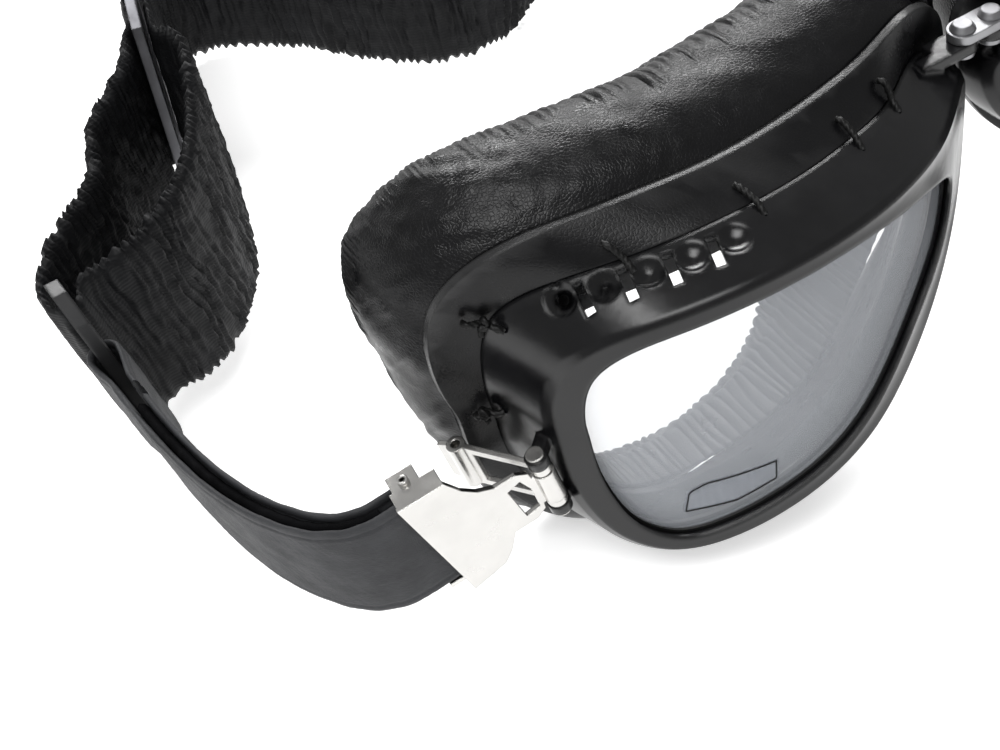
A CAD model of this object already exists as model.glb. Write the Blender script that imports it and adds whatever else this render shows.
"""Looks for the motorcycle goggles: materials for the CAD pieces, and soft pieces in place of plain solids.

Shapes are worked out in millimetres, with depths counted from the foremost line of the frames, as in the CAD
source, and mesh() turns them into metres in the shared frame. All random draws have fixed seeds.
"""
import bpy
import math
import numpy as np
from mathutils import Matrix, Vector


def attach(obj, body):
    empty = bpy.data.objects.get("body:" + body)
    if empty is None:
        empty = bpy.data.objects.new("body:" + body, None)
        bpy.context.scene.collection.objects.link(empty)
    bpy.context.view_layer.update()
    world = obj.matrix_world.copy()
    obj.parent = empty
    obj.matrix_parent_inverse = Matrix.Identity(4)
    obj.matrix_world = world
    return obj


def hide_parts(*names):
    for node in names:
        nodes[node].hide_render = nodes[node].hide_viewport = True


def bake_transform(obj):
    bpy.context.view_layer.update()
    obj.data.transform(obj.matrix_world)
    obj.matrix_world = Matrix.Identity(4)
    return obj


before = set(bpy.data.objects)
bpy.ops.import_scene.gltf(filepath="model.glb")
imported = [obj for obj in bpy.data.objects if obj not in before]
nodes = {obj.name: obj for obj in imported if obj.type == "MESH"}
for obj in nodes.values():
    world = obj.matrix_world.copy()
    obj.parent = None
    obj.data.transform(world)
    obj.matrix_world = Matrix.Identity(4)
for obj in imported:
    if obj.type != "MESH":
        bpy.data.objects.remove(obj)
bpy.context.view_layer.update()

# ---------------------------------------------------------------- dimensions, as in the CAD source
CUP_X = 51.5
CUP_Z = 36.0
MIDDLE_Y = 99.9
FACE_R = 57.0
NOSE_FLAT = 38.8
REAR_R = 62.0
REAR_Y = 12.5
PLATE_R = 120.0
PLATE_Y = 21.0
PLATE_T = 1.6
PAD_DEPTH = 27.0
PAD_LOW = 0.22
SEAT_GAP = 0.3          # clearance between the plate and the padding
REST_Z = 0.05           # the padding is pressed flat just above the floor
HINGE = (42.2, 16.2, -8.5)
HINGE_TILT = math.radians(12)
CLASP_ANGLE = math.radians(7)
BAR_T = 19.4
BAR_N = 4.2
RING_O = 44.0
RING_B = 70.0
RING_RISE = 7.0
RING_W = 13.0
RING_BAR = 1.1
LEATHER_W = 24.2
LEATHER_T = 1.2
FELT_T = 1.9
LOOP_R = 2.7            # leather loop round the ring's bar
STRAP_LOOP_R = 2.9      # elastic loop round the ring's other bar
ELASTIC_W = 38.0
GLIDE_POS = (-95.0, 166.0, 24.6)
GLIDE_DIR = (0.33, 0.944)

# Lens opening, from the temple over the top to the nose and back below.
OPENING = [
    (35.6, 0.0), (35.5, 6.5), (33.8, 12.5), (29.3, 17.0), (21.5, 19.8), (12.0, 21.5),
    (2.0, 22.4), (-8.0, 22.4), (-17.0, 21.2), (-25.5, 18.9), (-32.0, 15.6), (-35.6, 11.0),
    (-33.6, 5.8), (-27.5, 0.8), (-21.0, -4.2), (-14.5, -10.6), (-8.0, -16.0), (0.0, -20.0),
    (9.0, -22.8), (18.0, -25.0), (25.5, -25.2), (30.6, -21.3), (33.6, -14.5), (35.1, -7.0),
]
BEZEL_GROW = (4.0, 4.9, 3.8, 8.0)
NOSE_START = 7          # the bezel leaves the even margin here and runs out to the nose
NOSE_EDGE = [
    (-8.3, 26.6), (-18.0, 26.2), (-28.6, 25.2), (-40.0, 23.6), (-49.0, 19.0), (-48.0, 9.2), (-39.0, 0.5),
    (-28.2, -6.6), (-18.6, -14.6),
]
# Rim of the backing plate, point by point beside the opening.
PLATE = [
    (49.1, -0.4), (50.8, 9.2), (48.6, 21.6), (38.5, 29.8), (24.8, 32.0), (13.3, 32.2),
    (2.4, 32.0), (-8.5, 32.2), (-18.8, 32.6), (-29.6, 33.4), (-40.3, 34.2), (-48.4, 28.4),
    (-49.8, 13.5), (-41.6, -1.6), (-30.6, -10.0), (-20.8, -18.4), (-12.6, -25.0), (-3.0, -29.4),
    (6.6, -32.2), (16.6, -34.2), (28.6, -34.4), (39.0, -28.2), (45.0, -18.6), (48.0, -9.0),
]

# Growth of an outline: top, temple, bottom, nose, and extra at the upper temple corner.
REAR_GROW = (2.4, 3.4, 2.0, 0.3, 1.5)

# Padding: depth behind the plate, and growth from the plate's rim (the inner wall, from the bezel).
PAD_OUTER = [
    (0.2, (-0.3, -0.3, -0.6, -2.5)),
    (3.0, (2.2, 1.6, 1.0, -3.5)),
    (8.0, (4.4, 3.0, 2.0, -4.5)),
    (14.0, (4.8, 3.2, 2.0, -5.0)),
    (20.0, (3.8, 2.6, 1.6, -5.5)),
    (24.5, (0.2, -0.6, -1.0, -7.5)),
    (PAD_DEPTH, (-5.0, -5.6, -3.6, -8.5)),
]
PAD_INNER = [
    (25.5, (-7.0, -2.5, -0.5, -9.5)),
    (20.0, (-8.0, -5.0, -2.0, -10.5)),
    (12.0, (-7.5, -6.0, -3.2, -11.0)),
    (5.0, (-6.0, -5.5, -4.0, -10.5)),
]
PAD_SEAT = (-4.0, -4.0, -4.5, -9.0)

# Elastic strap: plan points (x, y), centre height, from the ring to the middle of the back.
STRAP_OUTER = [
    (-140.5, 97.0, 26.0), (-133.5, 106.5, 25.9), (-122.5, 117.0, 25.7), (-117.5, 133.0, 25.3),
    (-106.5, 146.5, 24.9),
]
STRAP_INNER = [
    (-133.0, 93.5, 26.1), (-120.4, 97.5, 26.0), (-105.5, 112.0, 25.7), (-97.5, 130.0, 25.2),
    (-94.0, 146.0, 24.8),
]
STRAP_BACK = [
    (-86.5, 188.0, 22.0), (-80.5, 197.0, 20.4), (-71.0, 197.5, 19.6), (-57.5, 186.5, 19.1),
    (-43.5, 167.0, 19.0), (-31.0, 157.5, 19.0), (-18.5, 157.5, 19.0), (-7.0, 163.4, 19.0), (0.0, 164.6, 19.0),
]


# ---------------------------------------------------------------- shape helpers
def grow(points, amounts):
    """Move an outline outward by different amounts at the top, temple, bottom, nose and corner."""
    top, temple, bottom, nose = amounts[:4]
    corner = amounts[4] if len(amounts) > 4 else 0.0
    moved = []
    count = len(points)
    for i in range(count):
        ax, az = points[i - 1]
        bx, bz = points[(i + 1) % count]
        length = math.hypot(bx - ax, bz - az)
        nx = (bz - az) / length
        nz = -(bx - ax) / length
        side = temple if nx > 0 else nose
        rise = top if nz > 0 else bottom
        step = side * nx * nx + rise * nz * nz + 2 * corner * max(nx, 0) * max(nz, 0)
        moved.append((points[i][0] + nx * step, points[i][1] + nz * step))
    return moved


BEZEL = [(round(u, 1), round(z, 1)) for u, z in grow(OPENING, BEZEL_GROW)]
BEZEL[NOSE_START:NOSE_START + len(NOSE_EDGE)] = NOSE_EDGE
REAR = grow(BEZEL, REAR_GROW)


def sag(u, radius):
    """How far a curved surface has fallen back at distance u."""
    flat_at = -NOSE_FLAT * radius / FACE_R
    if u >= flat_at:
        return radius - math.sqrt(radius ** 2 - u ** 2)
    run = math.sqrt(radius ** 2 - flat_at ** 2)
    return radius - run + (flat_at - u) * -flat_at / run


def rear_depth(u):
    """Depth of the frame's rear edge at distance u from the middle of the lens."""
    return min(REAR_Y + sag(u, REAR_R), PLATE_Y + sag(u, PLATE_R) - 0.4)


def cup_point(u, y, z):
    """Point of the right cup, u outward and z up from the lens centre."""
    return (-CUP_X - u, y, CUP_Z + z)


def catmull(points, steps, closed):
    """Dense smooth curve through points, as an array."""
    p = np.array(points, float)
    count = len(p)
    out = []
    spans = count if closed else count - 1
    for i in range(spans):
        if closed:
            a, b, c, d = p[i - 1], p[i], p[(i + 1) % count], p[(i + 2) % count]
        else:
            a, b, c, d = p[max(i - 1, 0)], p[i], p[i + 1], p[min(i + 2, count - 1)]
        for k in range(steps):
            t = k / steps
            out.append(0.5 * (2 * b + (c - a) * t + (2 * a - 5 * b + 4 * c - d) * t ** 2
                              + (3 * b - a - 3 * c + d) * t ** 3))
    if not closed:
        out.append(p[-1])
    return np.array(out)


def resampled(line, step):
    """The same line with points a fixed distance apart."""
    gaps = np.linalg.norm(np.diff(line, axis=0), axis=1)
    along = np.concatenate([[0.0], np.cumsum(gaps)])
    count = max(int(round(along[-1] / step)), 3)
    at = np.linspace(0, along[-1], count + 1)
    return np.stack([np.interp(at, along, line[:, k]) for k in range(line.shape[1])], 1)


def waves(seed, count, low, high):
    """A repeatable wavy noise function of two arrays, with wavelengths from low to high millimetres."""
    rng = np.random.default_rng(seed)
    size = 2 * math.pi / rng.uniform(low, high, count)
    turn = rng.uniform(0, 2 * math.pi, count)
    shift = rng.uniform(0, 2 * math.pi, count)

    def at(x, y):
        total = np.zeros(np.broadcast(x, y).shape)
        for k, a, s in zip(size, turn, shift):
            total += np.sin(k * (x * math.cos(a) + y * math.sin(a)) + s)
        return total / math.sqrt(count)
    return at


def smooth(low, high, x):
    """Step from 0 to 1 between low and high, with soft ends."""
    t = np.clip((x - low) / (high - low), 0, 1)
    return t * t * (3 - 2 * t)


def grid_faces(rows, columns, close_rows, close_columns):
    """Quads between the points of a grid numbered row by row."""
    faces = []
    for i in range(rows if close_rows else rows - 1):
        for j in range(columns if close_columns else columns - 1):
            a = i * columns + j
            b = i * columns + (j + 1) % columns
            c = ((i + 1) % rows) * columns + (j + 1) % columns
            d = ((i + 1) % rows) * columns + j
            faces.append((a, b, c, d))
    return faces


def mesh(name, points, faces, mirror=False):
    """New object from points in millimetres, mirrored to the left side if asked."""
    p = np.array(points, float).reshape(-1, 3).copy()
    p[:, 1] -= MIDDLE_Y
    p /= 1000.0
    if mirror:
        p[:, 0] = -p[:, 0]
        faces = [f[::-1] for f in faces]
    data = bpy.data.meshes.new(name)
    data.from_pydata(p.tolist(), [], faces)
    data.shade_smooth()
    data.update()
    made = bpy.data.objects.new(name, data)
    bpy.context.scene.collection.objects.link(made)
    return made


def normals_of(grid, closed_rows, closed_columns):
    """Unit normals of a grid of points, by differences."""
    def slope(axis, closed):
        if closed:
            return np.roll(grid, -1, axis) - np.roll(grid, 1, axis)
        return np.gradient(grid, axis=axis)
    n = np.cross(slope(0, closed_rows), slope(1, closed_columns))
    return n / np.maximum(np.linalg.norm(n, axis=2, keepdims=True), 1e-9)


# ---------------------------------------------------------------- materials
BLACK = (0, 0, 0, 1)
WHITE = (1, 1, 1, 1)


def finish(name, colour, rough, metal=0.0, mottle=0.0, rough_spread=0.0, grain=None, scratches=0.0,
           edge=0.0, coat=0.0, sheen=0.0, weave=None, dust=0.0, shine=0.5):
    """Procedural surface. Scales are in features per metre; grain is (scale, depth in mm, kind)."""
    m = bpy.data.materials.new(name)
    m.use_nodes = True
    tree = m.node_tree
    shader = tree.nodes["Principled BSDF"]
    shader.inputs["Metallic"].default_value = metal
    shader.inputs["Specular IOR Level"].default_value = shine
    shader.inputs["Coat Weight"].default_value = coat
    shader.inputs["Coat Roughness"].default_value = 0.12
    shader.inputs["Sheen Weight"].default_value = sheen
    shader.inputs["Sheen Roughness"].default_value = 0.5
    place = tree.nodes.new("ShaderNodeTexCoord")

    def noise(scale, detail, stretch=(1, 1, 1)):
        """Cloudy variation through the object's space."""
        turn = tree.nodes.new("ShaderNodeMapping")
        turn.inputs["Scale"].default_value = stretch
        tree.links.new(place.outputs["Object"], turn.inputs["Vector"])
        n = tree.nodes.new("ShaderNodeTexNoise")
        n.inputs["Scale"].default_value = scale
        n.inputs["Detail"].default_value = detail
        n.inputs["Roughness"].default_value = 0.6
        tree.links.new(turn.outputs["Vector"], n.inputs["Vector"])
        return n.outputs["Fac"]

    def ramp(source, low, high, a, b):
        """Colour a below low, b above high."""
        r = tree.nodes.new("ShaderNodeValToRGB")
        r.color_ramp.elements[0].position = low
        r.color_ramp.elements[1].position = high
        r.color_ramp.elements[0].color = a
        r.color_ramp.elements[1].color = b
        tree.links.new(source, r.inputs["Fac"])
        return r.outputs["Color"]

    def added(tint, extra):
        """Sum of two colours."""
        add = tree.nodes.new("ShaderNodeMix")
        add.data_type = "RGBA"
        add.blend_type = "ADD"
        add.inputs["Factor"].default_value = 1.0
        tree.links.new(tint, add.inputs[6])
        tree.links.new(extra, add.inputs[7])
        return add.outputs[2]

    def shade(factor):
        """Lighter or darker version of the base colour."""
        return tuple(min(1.0, c * factor) for c in colour) + (1.0,)

    tint = ramp(noise(95, 5), 0.35, 0.7, shade(1 - mottle), shade(1 + mottle))
    if dust:
        tint = added(tint, ramp(noise(2600, 2), 0.68, 0.78, BLACK, (dust, dust, dust, 1)))
    if edge:
        worn = tree.nodes.new("ShaderNodeNewGeometry")
        tint = added(tint, ramp(worn.outputs["Pointiness"], 0.53, 0.62, BLACK, (edge, edge, edge, 1)))
    tree.links.new(tint, shader.inputs["Base Color"])

    gloss = tree.nodes.new("ShaderNodeMapRange")
    gloss.inputs["From Min"].default_value = 0.3
    gloss.inputs["From Max"].default_value = 0.7
    gloss.inputs["To Min"].default_value = rough - rough_spread
    gloss.inputs["To Max"].default_value = rough + rough_spread
    tree.links.new(noise(210, 6), gloss.inputs["Value"])
    tree.links.new(gloss.outputs["Result"], shader.inputs["Roughness"])

    last = None

    def bump(source, strength, depth):
        """Relief from a source, added to what is there already; depth in mm."""
        nonlocal last
        b = tree.nodes.new("ShaderNodeBump")
        b.inputs["Strength"].default_value = strength
        b.inputs["Distance"].default_value = depth / 1000
        tree.links.new(source, b.inputs["Height"])
        if last is not None:
            tree.links.new(last, b.inputs["Normal"])
        last = b.outputs["Normal"]

    if scratches:
        bump(noise(900, 3, (0.05, 1, 1)), scratches, 0.02)
        bump(noise(700, 3, (1, 0.08, 1)), scratches, 0.02)
    if grain:
        scale, depth, kind = grain
        if kind == "leather":
            cells = tree.nodes.new("ShaderNodeTexVoronoi")
            cells.feature = "DISTANCE_TO_EDGE"
            cells.inputs["Scale"].default_value = scale
            tree.links.new(place.outputs["Object"], cells.inputs["Vector"])
            bump(ramp(cells.outputs["Distance"], 0.0, 0.22, BLACK, WHITE), 0.7, depth)
            bump(noise(scale * 0.35, 4), 0.5, depth * 1.6)
        else:
            bump(noise(scale, 4), 0.6, depth)
    if weave:
        scale, depth = weave
        thread = tree.nodes.new("ShaderNodeTexWave")
        thread.wave_type = "BANDS"
        thread.bands_direction = "Z"
        thread.inputs["Scale"].default_value = scale
        thread.inputs["Distortion"].default_value = 2.0
        thread.inputs["Detail"].default_value = 2.0
        tree.links.new(place.outputs["Object"], thread.inputs["Vector"])
        bump(thread.outputs["Fac"], 0.6, depth)
    if last is not None:
        tree.links.new(last, shader.inputs["Normal"])
    return m


enamel = finish("black_enamel", (0.0025, 0.0025, 0.003), 0.2, mottle=0.2, rough_spread=0.04,
                grain=(700, 0.02, "fine"), edge=0.006, shine=0.4)
glass = finish("lens_clear", (0.70, 0.73, 0.78), 0.05, mottle=0.02, rough_spread=0.01, shine=0.4)
glass.node_tree.nodes["Principled BSDF"].inputs["Alpha"].default_value = 0.22
rubber = finish("gasket_rubber", (0.004, 0.004, 0.004), 0.5, mottle=0.3, rough_spread=0.08,
                grain=(2600, 0.03, "fine"), shine=0.25)
film = finish("label_film", (0.30, 0.32, 0.36), 0.35, mottle=0.05, rough_spread=0.05, shine=0.3)
film.node_tree.nodes["Principled BSDF"].inputs["Alpha"].default_value = 0.22
leatherette = finish("leatherette", (0.003, 0.003, 0.0035), 0.3, mottle=0.2, rough_spread=0.06,
                     grain=(1500, 0.015, "leather"), edge=0.03, shine=0.24)
pad_leather = finish("pad_leather", (0.003, 0.003, 0.0035), 0.35, mottle=0.3, rough_spread=0.1,
                     grain=(1700, 0.04, "leather"), edge=0.012, dust=0.015, shine=0.24)
strap_hide = finish("charcoal_leather", (0.03, 0.031, 0.034), 0.6, mottle=0.2, rough_spread=0.06,
                    grain=(2600, 0.05, "leather"), edge=0.02, shine=0.25)
felt_wool = finish("felt", (0.004, 0.004, 0.0045), 0.95, mottle=0.5, grain=(3600, 0.25, "fine"), shine=0.05)
elastic = finish("gathered_elastic", (0.0045, 0.0047, 0.0055), 0.6, mottle=0.35, rough_spread=0.05,
                 grain=(3200, 0.05, "fine"), weave=(420, 0.06), dust=0.01, shine=0.2)
cord = finish("waxed_cord", (0.003, 0.003, 0.003), 0.5, mottle=0.3, grain=(3000, 0.08, "fine"), shine=0.25)
nickel = finish("nickel", (0.62, 0.61, 0.59), 0.22, metal=1.0, mottle=0.05, rough_spread=0.07,
                grain=(260, 0.03, "fine"), scratches=0.12)
plastic = finish("moulded_plastic", (0.008, 0.008, 0.009), 0.36, mottle=0.15, rough_spread=0.08,
                 grain=(1900, 0.02, "fine"), edge=0.02, shine=0.3)
grey_metal = finish("grey_metal", (0.14, 0.14, 0.15), 0.4, metal=0.8, mottle=0.1, rough_spread=0.08,
                    scratches=0.1)
link_steel = finish("link_steel", (0.24, 0.24, 0.25), 0.36, metal=0.9, mottle=0.1, rough_spread=0.08,
                    scratches=0.12, edge=0.06)


def soften(material, radius):
    """Round the look of a CAD piece's edges a little."""
    tree = material.node_tree
    shader = tree.nodes["Principled BSDF"]
    bevel = tree.nodes.new("ShaderNodeBevel")
    bevel.samples = 4
    bevel.inputs["Radius"].default_value = radius / 1000
    first = shader.inputs["Normal"].links[0].from_node
    while first.inputs["Normal"].is_linked:
        first = first.inputs["Normal"].links[0].from_node
    tree.links.new(bevel.outputs["Normal"], first.inputs["Normal"])


soften(enamel, 0.9)
soften(nickel, 0.3)
soften(plastic, 0.8)
soften(leatherette, 0.6)
soften(grey_metal, 0.4)
soften(link_steel, 0.4)


def paint(node, material):
    """Gives a CAD node its material."""
    nodes[node].data.materials.clear()
    nodes[node].data.materials.append(material)


SIDES = ("right", "left")
FINISHES = {
    "frame": enamel, "lens": glass, "lens_gasket": rubber, "lens_label": film,
    "backing_plate": leatherette, "pad_cover": pad_leather, "pad_foam": felt_wool, "lacing": cord,
    "clasp_pin": nickel, "clasp_plate": nickel, "clasp_bar": nickel, "clasp_lever": nickel,
    "strap_leather": strap_hide, "strap_felt": felt_wool, "strap_ring": plastic,
    "strap_slider": grey_metal,
}
for side in SIDES:
    for part, material in FINISHES.items():
        paint(side + "_" + part, material)
paint("elastic_strap", elastic)
paint("nose_link", link_steel)
paint("nose_rivets", link_steel)
paint("nose_leather", pad_leather)


# ---------------------------------------------------------------- padding
def pad_share(u, z):
    """Share of the full depth: all of it over the brow, least under the eye, more again at the temple."""
    rise = min(1.0, max(0.0, (z + 27.0) / 34.0))
    low = PAD_LOW + 0.2 * min(1.0, max(0.0, (u - 14.0) / 26.0))
    return low + (1.0 - low) * rise * rise * (3.0 - 2.0 * rise)


ROUND_STEPS = 62
ACROSS_STEPS = 8
RIDGE = 40              # the column along the crown of the roll
WANDER_SPAN = 60
PUFF_SPAN = 75
PLEAT_PITCH = 1.95
TEMPLE_PITCH = 1.1
PLEAT_DEPTH = 0.78
TEMPLE_DEPTH = 0.36


def smooth_pad():
    """Unpleated pad: rows run round the eye, columns from the plate over the back and inward."""
    front = PLATE_Y + PLATE_T + SEAT_GAP
    sections = []
    for outline, levels in ((PLATE, PAD_OUTER), (BEZEL, PAD_INNER)):
        for back, amounts in levels:
            section = []
            for u, z in grow(outline, amounts):
                section.append(cup_point(u, front + back * pad_share(u, z) + sag(u, PLATE_R), z))
            sections.append(section)
    sections.append([cup_point(u, rear_depth(u) + PLATE_T + SEAT_GAP, z) for u, z in grow(BEZEL, PAD_SEAT)])
    grid = catmull(np.array(sections).transpose(1, 0, 2), ROUND_STEPS, True)
    return catmull(grid.transpose(1, 0, 2), ACROSS_STEPS, False).transpose(1, 0, 2)


def pad_shape(seed):
    """Pad with the leather gathered into pleats over its back and inner wall, finer at the temple."""
    grid = smooth_pad()
    ridge = grid[:, RIDGE]
    s = np.concatenate([[0.0], np.cumsum(np.linalg.norm(np.diff(ridge, axis=0), axis=1))])
    total = s[-1] + np.linalg.norm(ridge[0] - ridge[-1])
    temple = smooth(0.35, 0.85, (-CUP_X - ridge[:, 0]) / 45)
    rng = np.random.default_rng(seed)
    edges = [0.0]
    while edges[-1] < total:
        near = np.interp(edges[-1], s, temple)
        pitch = PLEAT_PITCH + (TEMPLE_PITCH - PLEAT_PITCH) * near
        edges.append(edges[-1] + pitch * rng.uniform(0.7, 1.4))
    edges = np.array(edges) * total / edges[-1]
    count = len(edges)
    height = rng.uniform(0.5, 1.35, count)
    start = rng.uniform(0.24, 0.35, count)
    finish_at = rng.uniform(0.60, 0.72, count)

    t = np.linspace(0, 1, grid.shape[1])[None, :]
    wander = waves(seed + 1, 9, 5, 14)(s[:, None], t * WANDER_SPAN) * 0.35 * smooth(0.35, 0.9, t)
    warped = (s[:, None] + wander) % total
    pleat = np.clip(np.searchsorted(edges, warped) - 1, 0, count - 2)
    phase = (warped - edges[pleat]) / (edges[pleat + 1] - edges[pleat])
    fold = np.abs(np.sin(math.pi * np.clip(phase, 0, 1))) ** 0.6 - 0.75
    rise = smooth(0, 0.05, t - start[pleat]) * (1 - 0.55 * smooth(0, 0.1, t - finish_at[pleat]))
    depth = (PLEAT_DEPTH + (TEMPLE_DEPTH - PLEAT_DEPTH) * temple)[:, None] * height[pleat] * rise * fold

    puff = waves(seed + 2, 14, 9, 26)(grid[..., 0] + t * PUFF_SPAN, grid[..., 2]) * 0.22
    crease = waves(seed + 3, 16, 2.2, 5.0)(grid[..., 0], grid[..., 1] + grid[..., 2])
    puff += crease * 0.07 * (0.4 + temple[:, None])
    depth = depth + puff * smooth(0.0, 0.1, t) * (1 - smooth(0.93, 1.0, t))

    n = normals_of(grid, True, False)
    middle = grid.mean(axis=1, keepdims=True)
    if ((grid - middle) * n).sum() < 0:
        n = -n
    grid = grid + n * depth[..., None]
    grid[..., 2] = np.maximum(grid[..., 2], REST_Z)
    return grid


def take_over(made, material, body, *parts):
    """The piece gets its material, moves with a body and stands for CAD nodes."""
    made.data.materials.append(material)
    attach(made, body)
    if parts:
        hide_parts(*parts)
    return made


for k, side in enumerate(SIDES):
    shape = pad_shape(11 + 40 * k)
    rows, columns = shape.shape[:2]
    pad = mesh(side + "_pad", shape, grid_faces(rows, columns, True, True), mirror=side == "left")
    take_over(pad, pad_leather, side + "_eyecup", side + "_pad_cover", side + "_pad_foam")


# ---------------------------------------------------------------- flat bands
def rim(count, roundness):
    """Once round a flat section: place across the width and on the thickness, both from -1 to 1."""
    w = np.linspace(-1, 1, count)
    a = (1 - np.abs(w) ** roundness) ** 0.5
    return np.concatenate([w, w[-2:0:-1]]), np.concatenate([a, -a[-2:0:-1]])


def swept(path, leans, thick, wide):
    """Grid of points of a band along a path; thick and wide are offsets for every row and column."""
    along = np.gradient(path, axis=0)
    along[:, 2] = 0
    along /= np.linalg.norm(along, axis=1, keepdims=True)
    aside = np.stack([-along[:, 1], along[:, 0], np.zeros(len(path))], 1)
    up = np.stack([-np.sin(leans), np.zeros(len(path)), np.cos(leans)], 1)
    return path[:, None] + aside[:, None] * thick[..., None] + up[:, None] * wide[..., None]


def band_faces(rows, columns):
    """Faces of a closed band, with both ends shut."""
    ends = [tuple(range(columns)), tuple(range((rows - 1) * columns, rows * columns))[::-1]]
    return grid_faces(rows, columns, False, True) + ends


def clasp_point(o, b, h):
    lean = HINGE_TILT
    return (-CUP_X - HINGE[0] - o * math.cos(lean) - h * math.sin(lean), HINGE[1] + b,
            CUP_Z + HINGE[2] - o * math.sin(lean) + h * math.cos(lean))


# ---------------------------------------------------------------- elastic strap
def beside_glide(along, across, drop=0.0):
    gx, gy, gz = GLIDE_POS
    ax, ay = GLIDE_DIR
    return (gx + ax * along - ay * across, gy + ay * along + ax * across, gz - drop)


ring_x, ring_y, ring_z = clasp_point(RING_O, RING_B, RING_RISE)
ring_y += RING_W / 2 - RING_BAR
ring_loop = []
for i in range(9):
    a = math.pi + math.pi * i / 8
    ring_loop.append((ring_x + STRAP_LOOP_R * math.cos(a), ring_y + STRAP_LOOP_R * math.sin(a), ring_z))
sewn_end = [beside_glide(-1.6, -2.3), beside_glide(-6.0, -2.5), beside_glide(-11.5, -3.2)]
through = [
    beside_glide(-16.0, 3.2), beside_glide(-10.6, 2.5), beside_glide(-9.0, 2.0), beside_glide(-5.4, 0.2),
    beside_glide(-1.6, 1.95), beside_glide(0.0, 2.2), beside_glide(1.6, 1.95), beside_glide(5.4, 0.2),
    beside_glide(9.0, -2.0), beside_glide(10.6, -2.4), beside_glide(16.0, -2.2, 1.0),
]
half = sewn_end + STRAP_INNER[::-1] + ring_loop[::-1] + STRAP_OUTER + through + STRAP_BACK
strap_path = resampled(catmull(half, 24, False), 0.3)
strap_leans = HINGE_TILT * np.clip((150.0 - strap_path[:, 1]) / (150.0 - ring_y - 4.0), 0, 1)
run = np.arange(len(strap_path))[:, None] * 0.3
place, half_thick = rim(27, 10)
place = place[None, :]
face = np.sign(half_thick)[None, :]
at_ring = 1 - smooth(3, 14, np.hypot(strap_path[:, 0] - ring_x, strap_path[:, 1] - ring_y))[:, None]
glide_off = np.hypot(strap_path[:, 0] - GLIDE_POS[0], strap_path[:, 1] - GLIDE_POS[1])
at_glide = 1 - smooth(9, 19, glide_off)[:, None]
pinch = np.maximum(at_ring, at_glide)

for side in SIDES:
    warp = waves(60, 10, 7, 30)
    shake = waves(62, 12, 1.6, 4.0)
    lie = run + 0.9 * warp(run, place * 19) + 0.25 * shake(run, place * 19)
    beat = 2 * math.pi * lie / 2.0
    ruffle = 0.75 * np.sin(beat) + 0.35 * np.sin(1.63 * beat + 1.0) + 0.2 * shake(run * 0.9, place * 8)
    strength = (0.42 + 0.16 * waves(64, 8, 6, 20)(run, place * 19)) * (1 - 0.55 * pinch)
    cords = 0.12 * np.cos(place * math.pi * 9) * (1 - pinch)
    body = (1.25 - 0.45 * pinch) * half_thick[None, :]
    thick = body + face * (ruffle * strength + cords) * (np.abs(half_thick)[None, :] > 0.1)
    ragged = 0.6 * np.sin(beat + 0.6) + 0.4 * waves(66, 8, 2, 7)(run, place * 0)
    width = ELASTIC_W / 2 - 0.6 - 0.5 * pinch
    wide = place * (width + ragged * (1 - 0.6 * pinch) * np.abs(place) ** 6)
    roll = 0.5 * waves(68, 6, 25, 60)(run, place * 4) * (1 - pinch)
    grid = swept(strap_path, strap_leans, thick + roll, wide)
    elastic_half = mesh(side + "_elastic", grid, band_faces(*grid.shape[:2]), mirror=side == "left")
    elastic_half.data.materials.append(elastic)
    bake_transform(elastic_half)
    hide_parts("elastic_strap")


# ---------------------------------------------------------------- leather strap ends
bar_o = BAR_T * math.cos(CLASP_ANGLE) - BAR_N * math.sin(CLASP_ANGLE)
bar_b = BAR_T * math.sin(CLASP_ANGLE) + BAR_N * math.cos(CLASP_ANGLE)
bar_ring_b = RING_B - RING_W / 2 + RING_BAR
leather_line = resampled(catmull([
    (bar_o, bar_b, 0.0), (27.0, 7.4, 0.1), (33.2, 11.6, 0.4), (38.4, 20.4, 1.2),
    (41.8, 31.0, 2.6), (43.6, 43.0, 4.4), (44.2, 55.0, 6.2), (RING_O, bar_ring_b, RING_RISE),
], 30, False), 0.4)


def beside(line, distance, spread_at_end):
    """Points beside a line in the clasp plane, spreading apart near the ring."""
    along = np.gradient(line, axis=0)
    along /= np.hypot(along[:, 0], along[:, 1])[:, None]
    remaining = (len(line) - 1 - np.arange(len(line))) * 0.4
    d = distance * (1 + spread_at_end * (1 - smooth(0.0, 7.5, remaining)))
    moved = line.copy()
    moved[:, 0] += along[:, 1] * d
    moved[:, 1] -= along[:, 0] * d
    return moved


def arc(centre, radius, start, end, rise):
    angles = np.radians(np.linspace(start, end, 25))
    return np.stack([centre[0] + radius * np.cos(angles), centre[1] + radius * np.sin(angles),
                     np.full(25, rise)], 1)


BESIDE = (FELT_T + LEATHER_T) / 2 + 0.05
spread = LOOP_R / BESIDE - 1
fold_path = np.concatenate([
    beside(leather_line, -BESIDE, spread)[3:-32][::-1],
    arc((bar_o, bar_b), BESIDE, 108, 270, 0.0),
    beside(leather_line, BESIDE, spread)[6:-4],
    arc((RING_O, bar_ring_b), LOOP_R, 0, 180, RING_RISE),
    beside(leather_line, -BESIDE, spread)[-24:-4][::-1],
])
fold_path = resampled(fold_path, 0.35)


def to_part(line):
    return np.array([clasp_point(*p) for p in line])


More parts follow.
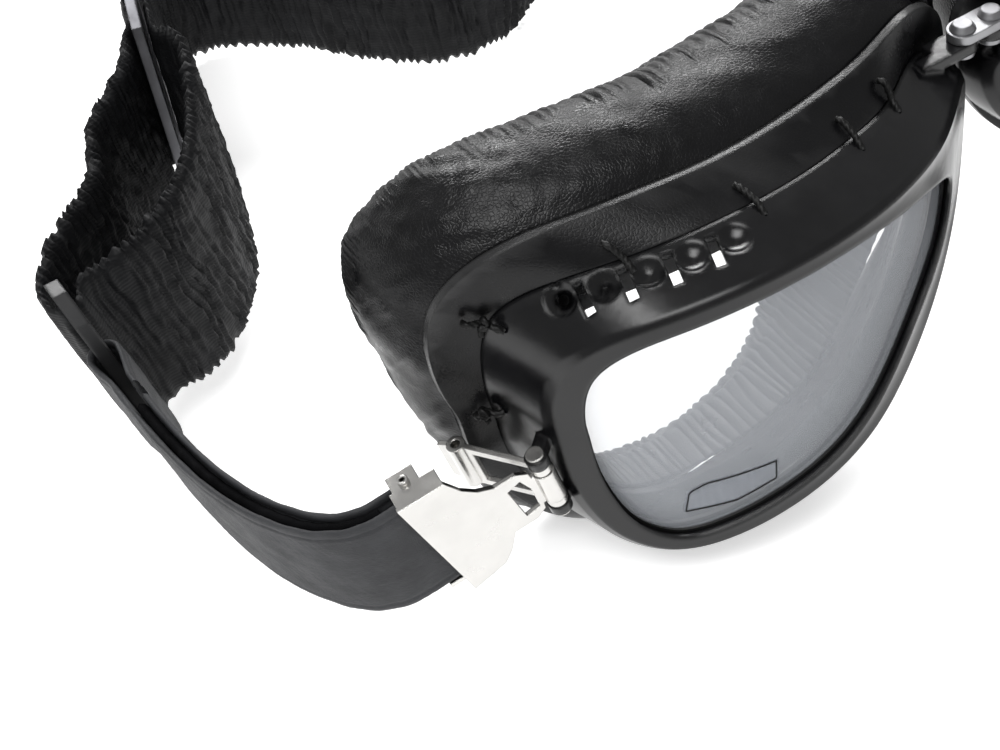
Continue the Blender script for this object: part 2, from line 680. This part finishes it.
def leather_band(seed, line, thickness, width, groove):
    """Grid of a leather or felt layer, with a pressed line beside each edge and gentle wear."""
    path = to_part(line)
    place, half_thick = rim(61 if groove else 31, 14)
    place = place[None, :]
    face = np.sign(half_thick)[None, :]
    run = np.arange(len(path))[:, None] * 0.35
    inset_line = (width / 2 - 1.9) / (width / 2)
    pressed = np.exp(-((np.abs(place) - inset_line) * width / 2 / 0.28) ** 2) * groove
    uneven = waves(seed, 12, 4, 18)(run, place * width / 2) * 0.05
    fuzz = waves(seed + 1, 16, 0.8, 2.0)(run, place * width / 2) * (0.02 if groove else 0.07)
    thick = thickness / 2 * half_thick[None, :] + face * (uneven + fuzz - pressed)
    wide = place * (width / 2 - 0.25 + 0.12 * waves(seed + 2, 8, 3, 12)(run, place * 0))
    return swept(path, np.full(len(path), HINGE_TILT), thick, wide)


for k, side in enumerate(SIDES):
    grid = leather_band(80 + k, fold_path, LEATHER_T + 0.1, LEATHER_W, 0.22)
    hide = mesh(side + "_strap_end", grid, band_faces(*grid.shape[:2]), mirror=side == "left")
    hide.data.materials.append(strap_hide)
    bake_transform(hide)
    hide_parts(side + "_strap_leather")
    core_line = resampled(leather_line[14:-34], 0.35)
    grid = leather_band(90 + k, core_line, FELT_T + 0.1, LEATHER_W - 0.9, 0.0)
    core = mesh(side + "_felt_core", grid, band_faces(*grid.shape[:2]), mirror=side == "left")
    core.data.materials.append(felt_wool)
    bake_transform(core)
    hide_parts(side + "_strap_felt")


# ---------------------------------------------------------------- nose leather
turn = np.radians(np.linspace(-205, 25, 150))
saddle_line = np.stack([1.9 * np.cos(turn), 41.0 + 3.1 * np.sin(turn), np.full(150, CUP_Z + 20.0)], 1)
place, half_thick = rim(121, 12)
run = np.linspace(0, 12.4, 150)[:, None]
wrinkle = waves(101, 12, 1.6, 4.0)(run * 0.35, place[None, :] * 8) * 0.16
bend = 0.8 * waves(103, 5, 4, 9)(run, place[None, :] * 8)
creases = np.abs(np.sin(place[None, :] * 17 + bend)) ** 0.7 * 0.22
thick = 0.6 * half_thick[None, :] + np.sign(half_thick)[None, :] * (wrinkle + creases - 0.15)
grid = swept(saddle_line, np.zeros(150), thick, place[None, :] * 7.9 + 0 * run)
saddle = mesh("nose_pad", grid, band_faces(*grid.shape[:2]))
take_over(saddle, pad_leather, "nose_link", "nose_leather")


# ---------------------------------------------------------------- waxed cord lacing
def tube(points, radius, twist_pitch=1.1):
    """Grid of a twisted cord along a smooth curve."""
    path = resampled(catmull(points, 14, False), 0.16)
    along = np.gradient(path, axis=0)
    along /= np.linalg.norm(along, axis=1, keepdims=True)
    first = np.cross(along, np.array([0.31, 0.17, 0.94]))
    first /= np.linalg.norm(first, axis=1, keepdims=True)
    second = np.cross(along, first)
    angle = np.linspace(0, 2 * math.pi, 17)[None, :-1]
    run = np.arange(len(path))[:, None] * 0.16
    r = radius * (1 + 0.13 * np.cos(3 * angle - 2 * math.pi * run / twist_pitch))
    return path[:, None] + first[:, None] * (r * np.cos(angle))[..., None] \
        + second[:, None] * (r * np.sin(angle))[..., None]


inner_row = grow(REAR, (-0.9, -0.9, -0.9, -0.9))
cords = []
KNOTTED = (0, 2, 20)
for i in (0, 2, 4, 6, 8, 9, 18, 20):
    u, z = inner_row[i]
    ru, rz = REAR[i]
    pu, pz = PLATE[i]
    low = np.array(cup_point(u, rear_depth(u) - 2.6, z))
    rim_point = np.array(cup_point(pu, PLATE_Y + sag(pu, PLATE_R), pz))
    edge = np.array(cup_point(ru, rear_depth(ru), rz))
    high = (edge + rim_point) / 2
    out = np.array(cup_point(ru, 0, rz)) - np.array(cup_point(u, 0, z))
    out /= np.linalg.norm(out)
    tangent = np.cross(out, [0, 1, 0])
    lift = out * (1.3 if i in KNOTTED else 0.6)
    cords.append([low, low + lift + [0, 0.7, 0], edge + lift - [0, 0.5, 0],
                  high - [0, 1.9, 0] + tangent * 0.6, high - [0, 0.6, 0] + tangent * 0.9])
    if i not in KNOTTED:
        continue
    knot = edge + out * 1.4 - [0, 0.9, 0]
    ring_of = []
    for a in np.radians(np.arange(0, 400, 40)):
        ring_of.append(knot + tangent * (0.7 * math.cos(a)) + (np.array([0, 1, 0]) * 0.6) * math.sin(a)
                       + out * (0.35 + 0.35 * math.cos(2 * a)))
    cords.append(ring_of)
    cords.append([knot + tangent * 0.3, knot + tangent * 1.1 + out * 0.4, knot + tangent * 2.0 - [0, 0.4, 0]])

for side in SIDES:
    points = []
    faces = []
    for line in cords:
        grid = tube(line, 0.52)
        faces += [tuple(v + len(points) for v in f) for f in band_faces(*grid.shape[:2])]
        points += grid.reshape(-1, 3).tolist()
    lace = mesh(side + "_lace", points, faces, mirror=side == "left")
    take_over(lace, cord, side + "_eyecup", side + "_lacing")


# ---------------------------------------------------------------- printed border of the lens label
LABEL = [(8.4, -15.5), (19.9, -15.5), (22.6, -16.8), (23.4, -21.1), (15.5, -21.3), (8.6, -19.4)]
LENS_FRONT_R = 55.14
border = []
for u, z in resampled(np.array(LABEL + LABEL[:1]), 1.0):
    border.append(cup_point(u, FACE_R - math.sqrt(LENS_FRONT_R ** 2 - u ** 2), z))
for side in SIDES:
    grid = tube(border, 0.12)
    printed = mesh(side + "_label_border", grid, band_faces(*grid.shape[:2]), mirror=side == "left")
    take_over(printed, rubber, side + "_eyecup")


# ---------------------------------------------------------------- stage
scene = bpy.context.scene
scene.view_settings.view_transform = "Standard"
world = bpy.data.worlds.new("studio")
scene.world = world
world.use_nodes = True
world.node_tree.nodes["Background"].inputs["Color"].default_value = (1, 1, 1, 1)
world.node_tree.nodes["Background"].inputs["Strength"].default_value = 0.4

bpy.ops.mesh.primitive_plane_add(size=6, location=(0, 0, -0.0002))
floor = bpy.context.object
floor.name = "floor"
paper = bpy.data.materials.new("paper")
paper.use_nodes = True
paper.node_tree.nodes["Principled BSDF"].inputs["Base Color"].default_value = (0.93, 0.93, 0.93, 1)
paper.node_tree.nodes["Principled BSDF"].inputs["Roughness"].default_value = 0.9
paper.node_tree.nodes["Principled BSDF"].inputs["Emission Color"].default_value = (1, 1, 1, 1)
paper.node_tree.nodes["Principled BSDF"].inputs["Emission Strength"].default_value = 0.55
floor.data.materials.append(paper)


def area_light(name, place, aim, size, power):
    light = bpy.data.lights.new(name, "AREA")
    light.shape = "RECTANGLE"
    light.size, light.size_y = size
    light.energy = power
    lamp = bpy.data.objects.new(name, light)
    lamp.location = place
    lamp.rotation_euler = (Vector(aim) - Vector(place)).to_track_quat("-Z", "Y").to_euler()
    scene.collection.objects.link(lamp)


area_light("key", (-0.35, -0.25, 0.75), (-0.08, -0.03, 0.03), (0.5, 0.4), 5)
area_light("back", (0.2, 0.6, 0.5), (-0.05, 0.0, 0.03), (0.7, 0.12), 7)

camera = bpy.data.objects.new("camera", bpy.data.cameras.new("camera"))
scene.collection.objects.link(camera)
camera.data.lens = 73.55
camera.data.sensor_width = 36
camera.data.clip_start = 0.01
right = Vector((0.842, -0.520, -0.141))
up = Vector((0.456, 0.548, 0.701))
back = Vector((-0.288, -0.655, 0.699))
camera.matrix_world = Matrix((
    (right.x, up.x, back.x, -0.1849),
    (right.y, up.y, back.y, -0.2808),
    (right.z, up.z, back.z, 0.2647),
    (0, 0, 0, 1),
))
scene.camera = camera
